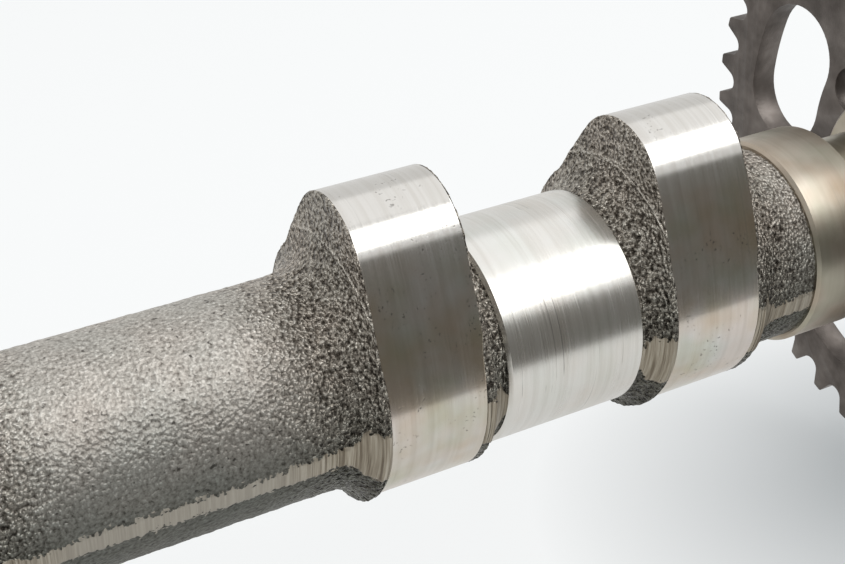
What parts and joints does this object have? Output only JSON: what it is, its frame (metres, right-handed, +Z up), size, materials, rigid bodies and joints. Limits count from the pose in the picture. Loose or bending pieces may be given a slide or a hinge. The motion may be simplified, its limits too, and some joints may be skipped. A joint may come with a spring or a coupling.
{
  "type": "camshaft",
  "caption": "Cast-iron engine camshaft with ground journals and paired cam lobes, a toothed chain wheel with kidney windows bolted on its front end, and a turned spigot on its rear end.",
  "frame": {"origin": "on the shaft's axis, in the middle of the front journal", "axes": "+X along the shaft towards the chain wheel, +Z up; the first pair of lobes points up and a little towards -Y"},
  "size_m": [0.3287, 0.0924, 0.0924],
  "materials": {
    "cast_iron": "rough cast skin, bright ground journals and lobe rims",
    "wheel_steel": "dark matt pressed steel",
    "fastener_steel": "plain turned steel"
  },
  "bodies": {
    "root": {"camshaft": "cast_iron", "chain_wheel": "wheel_steel", "dowel_pin": "fastener_steel", "washer": "fastener_steel", "wheel_bolt": "fastener_steel"}
  },
  "joints": []
}
